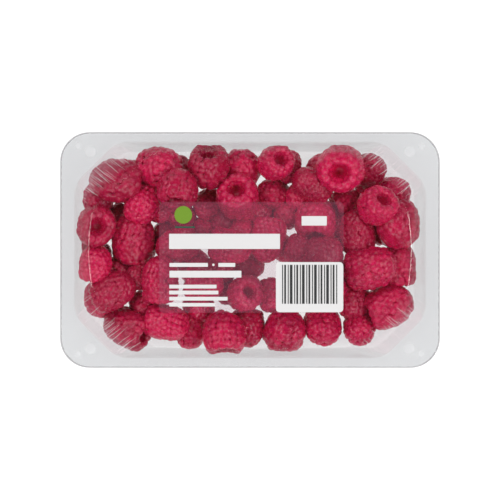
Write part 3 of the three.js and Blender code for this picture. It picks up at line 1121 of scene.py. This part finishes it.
class Raspberry:
    """One kind of raspberry, its open end up: drupelets in rows round a hollow thimble."""

    def __init__(self, seed, ratio, looks):
        self.rng = random.Random(seed)
        self.radius = KIND_RADIUS
        self.length = 2 * self.radius * ratio
        self.looks = looks
        self.drupelets = []
        self.place_drupelets()
        self.mesh = self.union()
        self.read()

    def scaled(self, path):
        """The path in metres."""
        return [(across * self.radius, along * self.length) for across, along in path]

    def place_drupelets(self):
        """Lays the drupelets in rows, each with its middle, the way that it faces and its size."""
        looks = self.looks
        path = self.scaled(DRUPELET_PATH)
        rows = list(along_path(path, looks.spacing * 0.86))
        for row, (out, height) in enumerate(rows):
            before, after = rows[max(0, row - 1)], rows[min(len(rows) - 1, row + 1)]
            lean = Vector((after[0] - before[0], 0, after[1] - before[1])).normalized()
            normal = Vector((-lean.z, 0, lean.x))
            if row == len(rows) - 1:
                normal = Vector((0, 0, -1))
            count = max(1, round(2 * math.pi * out / looks.spacing))
            offset = self.rng.uniform(0, 1) if row == 0 else offset + 0.5 + self.rng.uniform(-0.1, 0.1)
            for number in range(count):
                jitter = self.rng.uniform(-0.14, 0.14)
                turn = 2 * math.pi * (number + offset + jitter) / count
                spin = Matrix.Rotation(turn, 3, "Z")
                sway = Vector((self.rng.uniform(-1, 1), 0, self.rng.uniform(-1, 1))) * 0.28 * MM
                centre = spin @ (Vector((out, 0, height)) + sway)
                size = self.rng.uniform(0.88, 1.12)
                self.drupelets.append((centre, spin @ normal, size))

    def union(self):
        """The drupelets and the thimble as one closed mesh."""
        looks = self.looks
        outer = [(across * 0.97, along * 0.985) for across, along in DRUPELET_PATH[1:]]
        profile = self.scaled(HOLLOW_PATH) + self.scaled(outer)
        sides = 20
        angles = [2 * math.pi * i / sides for i in range(sides)]
        rings = []
        for out, height in profile[1:-1]:
            rings.append([Vector((out * math.cos(a), out * math.sin(a), height)) for a in angles])
        points, faces = skin(rings, cap_first=True, cap_last=True)
        points[-2].z = profile[0][1]
        points[-1].z = profile[-1][1]
        thimble = piece("thimble", points, [tuple(reversed(face)) for face in faces])
        group = bpy.data.collections.new("drupelets")
        ball = self.ball()
        for centre, way, size in self.drupelets:
            obj = bpy.data.objects.new("drupelet", ball)
            turn = Vector((0, 0, 1)).rotation_difference(way)
            spin = Quaternion((0, 0, 1), self.rng.uniform(0, math.pi))
            wide = looks.spacing * 0.67 * size
            tall = looks.swell * size
            obj.matrix_world = Matrix.LocRotScale(
                centre, turn @ spin, Vector((wide * self.rng.uniform(0.94, 1.06), wide, tall))
            )
            group.objects.link(obj)
        bpy.context.scene.collection.children.link(group)
        join = thimble.modifiers.new("union", "BOOLEAN")
        join.operation = "UNION"
        join.operand_type = "COLLECTION"
        join.collection = group
        join.solver = "MANIFOLD"
        ease = thimble.modifiers.new("ease", "SMOOTH")
        ease.factor = 0.5
        ease.iterations = 3
        fewer = thimble.modifiers.new("fewer", "DECIMATE")
        fewer.ratio = 0.85
        bpy.context.view_layer.update()
        bake_modifiers(thimble)
        mesh = thimble.data
        bpy.data.objects.remove(thimble)
        for obj in list(group.objects):
            bpy.data.objects.remove(obj)
        bpy.data.collections.remove(group)
        bpy.data.meshes.remove(ball)
        return mesh

    def ball(self):
        """The mesh that all drupelets share."""
        mesh = bpy.data.meshes.new("ball")
        made = bmesh.new()
        bmesh.ops.create_uvsphere(made, u_segments=10, v_segments=6, radius=1)
        made.to_mesh(mesh)
        made.free()
        return mesh

    def read(self):
        """Keeps the mesh as plain arrays, with each point's place on the body, crease and tone, and hairs."""
        made = bmesh.new()
        made.from_mesh(self.mesh)
        bmesh.ops.triangulate(made, faces=made.faces)
        made.to_mesh(self.mesh)
        made.free()
        count = len(self.mesh.vertices)
        flat = np.empty(count * 3)
        self.mesh.vertices.foreach_get("co", flat)
        self.points = flat.reshape(-1, 3)
        corners = np.empty(len(self.mesh.polygons) * 3, dtype=np.int32)
        self.mesh.polygons.foreach_get("vertices", corners)
        self.faces = corners.reshape(-1, 3)
        centres = np.array([tuple(centre) for centre, _, _ in self.drupelets])
        reach = np.linalg.norm(self.points[:, None, :] - centres[None, :, :], axis=2)
        nearest = np.sort(reach, axis=1)[:, :2]
        pull = np.exp(-((reach - nearest[:, :1]) / (0.4 * self.looks.spacing)))
        self.body = (pull / pull.sum(axis=1, keepdims=True)) @ centres
        self.crease = np.clip((nearest[:, 1] - nearest[:, 0]) / (0.55 * self.looks.spacing), 0, 1)
        tones = np.array([self.rng.random() for _ in self.drupelets])
        self.tone = tones[np.argmin(reach, axis=1)]
        bpy.data.meshes.remove(self.mesh)
        self.hairs = []
        for centre, way, size in self.drupelets:
            if self.rng.random() < HAIR_SHARE:
                lean = Vector([self.rng.uniform(-0.6, 0.6) for _ in range(3)])
                base = centre + way * (self.looks.swell * size * 0.96)
                self.hairs.append((base, (way + lean).normalized(), self.rng.uniform(1.3, 2.4) * MM))


def room_at(height, sizes):
    """The octagon that the berries have at that height in the shut pack."""
    gap = sizes.wall + CONTACT_GAP
    if height > sizes.depth:
        share = (height - sizes.depth) / (lid_top(sizes) - sizes.depth)
        return MOUTH.towards(PANEL, min(1, share)).inset(gap + 0.3 * MM)
    lean = TRAY_DRAFT * max(0.0, 1 - height / sizes.depth)
    foot = FOOT_RADIUS * max(0.0, 1 - height / FOOT_RADIUS) ** 2 * 0.7
    return MOUTH.inset(lean + gap + foot)


def eased(values, limit):
    """The values, pressed together softly near the limit on either side, and never over it."""
    give = CONTACT_SOFTNESS
    size = np.abs(values)
    excess = np.maximum(0, size - (limit - give))
    return np.sign(values) * (size - excess + give * (1 - np.exp(-excess / give)))


def pressed(points, sizes, relief=0.0):
    """The points, moved back where they would be nearer than that to the tray's and the lid's insides."""
    top = lid_top(sizes)
    gap = sizes.wall + CONTACT_GAP + relief
    heights = np.clip(points[:, 2], gap, top - gap - 0.1 * MM)
    levels = np.linspace(0, top, 60)
    rooms = [room_at(level, sizes) for level in levels]
    length = np.interp(heights, levels, [room.half_length for room in rooms]) - relief
    width = np.interp(heights, levels, [room.half_width for room in rooms]) - relief
    cut = np.interp(heights, levels, [room.cut for room in rooms])
    x = eased(points[:, 0], length)
    y = eased(points[:, 1], width)
    reach = length + width - cut + (2 - math.sqrt(2)) * relief
    out = np.abs(x) + np.abs(y)
    over = out - eased(out, reach)
    x = x - np.sign(x) * over / 2
    y = y - np.sign(y) * over / 2
    return np.column_stack([x, y, heights])


def resting_places(sizes):
    """Drops the berries one after another: each comes to rest on the floor or on those below it."""
    placed = []
    for x, y, diameter, length, heading, tilt in BERRIES:
        x, y, diameter, length = x * MM, y * MM, diameter * MM, length * MM
        radius = (diameter + length) / 4
        lowest = sizes.wall + BERRY_CLEARANCE + radius
        place = (x, y, lowest)
        # How far out a berry can lie depends on its height, which depends on where it lies
        for _ in range(3):
            across, up = kept_inside(x, y, radius, place[2], sizes)
            z = lowest
            for other_x, other_y, other_z, other_radius in (other[:4] for other in placed):
                reach = BERRY_SQUEEZE * (radius + other_radius)
                apart = math.hypot(across - other_x, up - other_y)
                if apart < reach:
                    z = max(z, other_z + math.sqrt(reach * reach - apart * apart))
            place = (across, up, min(z, lid_top(sizes) - lowest))
        placed.append((*place, radius, diameter, length, heading, tilt))
    return placed


def kept_inside(x, y, radius, height, sizes):
    """The place, moved in where a berry of that radius and at that height would be outside the tray."""
    lean = TRAY_DRAFT * max(0.0, 1 - height / sizes.depth)
    room = MOUTH.inset(lean + sizes.wall + BERRY_CLEARANCE + BERRY_GIVE * radius)
    x = min(max(x, -room.half_length), room.half_length)
    y = min(max(y, -room.half_width), room.half_width)
    over = abs(x) + abs(y) - (room.half_length + room.half_width - room.cut)
    if over > 0:
        x -= math.copysign(over / 2, x)
        y -= math.copysign(over / 2, y)
    return x, y


def faced(heading, tilt):
    """The turn that faces +Z along a heading and a tilt, both in degrees."""
    round_, up = math.radians(heading), math.radians(tilt)
    way = Vector((math.cos(up) * math.cos(round_), math.cos(up) * math.sin(round_), math.sin(up)))
    return Vector((0, 0, 1)).rotation_difference(way)


class PUNNET_OT_raspberries(bpy.types.Operator):
    """Makes the kinds of raspberry and lays the heap, pressed against the pack where it touches"""

    bl_idname = "punnet.raspberries"
    bl_label = "Raspberries"

    def execute(self, context):
        sizes = context.scene.punnet_pack
        looks = context.scene.punnet_berries
        kinds = [(ratio, Raspberry(seed, ratio, looks)) for seed, ratio in enumerate(KINDS)]
        rng = random.Random(7)
        layers = [[] for _ in range(LAYERS)]
        hair_points, hair_faces = [], []
        for number, (x, y, z, _, diameter, length, heading, tilt) in enumerate(resting_places(sizes)):
            wanted = length / diameter
            near = sorted(kinds, key=lambda kind: abs(kind[0] - wanted) + rng.uniform(0, 0.12))
            kind = near[0][1]
            wide = BERRY_FULLNESS * diameter / (2 * kind.radius)
            tall = BERRY_FULLNESS * length / kind.length
            uneven = rng.uniform(0.95, 1.05)
            bend = rng.uniform(-6, 6)
            stretch = np.array([wide * uneven, wide / uneven, tall])
            turn = faced(heading, tilt) @ Quaternion((0, 0, 1), rng.uniform(0, 2 * math.pi))
            rotation = np.array(turn.to_matrix())
            middle = np.array([x, y, z])

            def placed(local, body):
                """Presses the body where it touches the pack, and keeps the shape of what stands out."""
                shaped, core = local * stretch, body * stretch
                shaped[:, 0] += bend * shaped[:, 2] ** 2
                core[:, 0] += bend * core[:, 2] ** 2
                relief = (shaped - core) @ rotation.T
                free = core @ rotation.T + middle
                return pressed(pressed(free, sizes, DRUPELET_RELIEF) + relief, sizes)

            ripeness = rng.random()
            layers[number * LAYERS // len(BERRIES)].append((placed(kind.points, kind.body), kind, ripeness))
            for base, way, long in kind.hairs:
                side = way.orthogonal().normalized()
                line = []
                for share in (step / HAIR_STEPS for step in range(HAIR_STEPS + 1)):
                    point = base + way * (long * share) + side * (0.25 * long * share**2)
                    line.append(tuple(point))
                path = placed(np.array(line), np.array([tuple(base)] * len(line)))
                self.hair(hair_points, hair_faces, [Vector(point) for point in path])
        skin_look = berry_skin(looks)
        for number, layer in enumerate(layers):
            obj = self.join(f"raspberries_layer_{number + 1}", layer, skin_look)
            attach(obj, "root")
            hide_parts("raspberries")
        hairs = piece("raspberry_hairs", hair_points, hair_faces, hair_skin(looks))
        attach(hairs, "root")
        return {"FINISHED"}

    def join(self, name, layer, material):
        """One mesh of several berries, with each point's crease, tone and ripeness."""
        counts = np.cumsum([0] + [len(points) for points, _, _ in layer])
        points = np.concatenate([points for points, _, _ in layer])
        faces = np.concatenate([kind.faces + start for (_, kind, _), start in zip(layer, counts)])
        mesh = bpy.data.meshes.new(name)
        mesh.from_pydata(points.tolist(), [], faces.tolist())
        values = {
            "crease": np.concatenate([kind.crease for _, kind, _ in layer]),
            "tone": np.concatenate([kind.tone for _, kind, _ in layer]),
            "ripeness": np.concatenate([np.full(len(points), ripe) for points, _, ripe in layer]),
        }
        for key, value in values.items():
            mesh.attributes.new(key, "FLOAT", "POINT").data.foreach_set("value", value.astype(np.float32))
        mesh.update()
        obj = link(bpy.data.objects.new(name, mesh), material)
        soften(mesh, 80)
        return obj

    def hair(self, points, faces, path):
        """Adds one hair along the path, three-sided and thinner to its tip."""
        sides = 3
        start = len(points)
        for k, point in enumerate(path):
            ahead = (path[min(k + 1, len(path) - 1)] - path[max(k - 1, 0)]).normalized()
            if ahead.length < 0.5:
                ahead = Vector((0, 0, 1))
            side = ahead.orthogonal().normalized()
            other = ahead.cross(side)
            size = HAIR_RADIUS * (1 - 0.75 * k / (len(path) - 1))
            for i in range(sides):
                turn = 2 * math.pi * i / sides
                points.append(point + side * (size * math.cos(turn)) + other * (size * math.sin(turn)))
        for k in range(len(path) - 1):
            for i in range(sides):
                j = (i + 1) % sides
                a = start + sides * k
                faces.append((a + i, a + j, a + sides + j, a + sides + i))
        end = start + sides * (len(path) - 1)
        faces.append((start + 2, start + 1, start))
        faces.append((end, end + 1, end + 2))


class PUNNET_OT_stage(bpy.types.Operator):
    """Makes the pale floor, the soft lights and the camera"""

    bl_idname = "punnet.stage"
    bl_label = "Stage"

    def execute(self, context):
        scene = context.scene
        looks = scene.punnet_stage
        sizes = scene.punnet_pack
        self.floor(looks)
        self.surroundings(scene)
        for name, place, size, power in LIGHTS:
            self.light(name, place, size, power)
        camera = bpy.data.cameras.new("camera")
        camera.lens = looks.lens
        camera.sensor_width = SENSOR_WIDTH
        camera.clip_start = 0.01
        holder = bpy.data.objects.new("camera", camera)
        holder.location = (0, 0, sizes.depth + looks.view_width * looks.lens / SENSOR_WIDTH)
        scene.collection.objects.link(holder)
        scene.camera = holder
        scene.view_settings.view_transform = "Standard"
        scene.view_settings.look = "None"
        scene.cycles.transparent_max_bounces = 32
        return {"FINISHED"}

    def floor(self, looks):
        """A pale floor that is lit evenly, just under the pack."""
        reach = 1.6
        corners = [(-reach, -reach), (reach, -reach), (reach, reach), (-reach, reach)]
        rings = [[Vector((x, y, z)) for x, y in corners] for z in (-2.4 * MM, -0.4 * MM)]
        points, faces = skin(rings, cap_first=True, cap_last=True)
        finish = Finish("floor")
        surface = finish.node(
            "ShaderNodeBsdfPrincipled",
            None,
            {
                "Base Color": rgba(looks.floor),
                "Roughness": 0.7,
                "Emission Color": (1.0, 1.0, 1.0, 1.0),
                "Emission Strength": looks.glow,
            },
        )
        piece("floor", points, faces, finish.done(surface))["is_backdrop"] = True

    def surroundings(self, scene):
        """A pale surround that darkens overhead, so that the flat lid stays clear."""
        world = bpy.data.worlds.new("surroundings")
        world.use_nodes = True
        tree = world.node_tree
        place = tree.nodes.new("ShaderNodeTexCoord")
        split = tree.nodes.new("ShaderNodeSeparateXYZ")
        ramp = tree.nodes.new("ShaderNodeValToRGB")
        ramp.color_ramp.elements[0].position = 0.0
        ramp.color_ramp.elements[0].color = (0.8, 0.8, 0.8, 1)
        ramp.color_ramp.elements[1].position = 0.93
        ramp.color_ramp.elements[1].color = (0.03, 0.03, 0.03, 1)
        middle = ramp.color_ramp.elements.new(0.75)
        middle.color = (0.55, 0.55, 0.55, 1)
        tree.links.new(place.outputs["Generated"], split.inputs[0])
        tree.links.new(split.outputs["Z"], ramp.inputs[0])
        tree.links.new(ramp.outputs[0], tree.nodes["Background"].inputs["Color"])
        tree.nodes["Background"].inputs["Strength"].default_value = 0.45
        scene.world = world

    def light(self, name, place, size, power):
        """A soft light that faces the middle of the pack."""
        lamp = bpy.data.lights.new(name, "AREA")
        lamp.shape = "RECTANGLE"
        lamp.size, lamp.size_y = size
        lamp.energy = power
        holder = bpy.data.objects.new(name, lamp)
        holder.location = place
        holder.rotation_euler = (Vector((0, 0, 0.02)) - Vector(place)).to_track_quat("-Z", "Y").to_euler()
        bpy.context.scene.collection.objects.link(holder)


OPERATORS = (PUNNET_OT_tray, PUNNET_OT_lid, PUNNET_OT_label, PUNNET_OT_raspberries, PUNNET_OT_stage)


class PUNNET_PT_panel(bpy.types.Panel):
    """Lists the pieces of the punnet and their sizes and colours"""

    bl_idname = "PUNNET_PT_panel"
    bl_label = "Punnet"
    bl_space_type = "VIEW_3D"
    bl_region_type = "UI"
    bl_category = "Punnet"

    def draw(self, context):
        scene = context.scene
        for name in SETTINGS:
            settings = getattr(scene, name)
            for key in settings.__annotations__:
                self.layout.prop(settings, key)
        for operator in OPERATORS:
            self.layout.operator(operator.bl_idname)


SETTINGS = {
    "punnet_pack": PackSizes,
    "punnet_berries": BerryLooks,
    "punnet_label": LabelLooks,
    "punnet_stage": StageLooks,
}
CLASSES = (*SETTINGS.values(), *OPERATORS, PUNNET_PT_panel)


def register():
    for cls in CLASSES:
        bpy.utils.register_class(cls)
    for name, cls in SETTINGS.items():
        setattr(bpy.types.Scene, name, bpy.props.PointerProperty(type=cls))


def unregister():
    for name in SETTINGS:
        delattr(bpy.types.Scene, name)
    for cls in reversed(CLASSES):
        bpy.utils.unregister_class(cls)


def main():
    register()
    bpy.ops.punnet.tray()
    bpy.ops.punnet.lid()
    bpy.ops.punnet.label()
    bpy.ops.punnet.raspberries()
    bpy.ops.punnet.stage()
    boxes = {"cad": CAD_BOX, "visual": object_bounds()}
    {name: [[float(v) for v in corner] for corner in box] for name, box in boxes.items()}


if __name__ == "__main__":
    main()
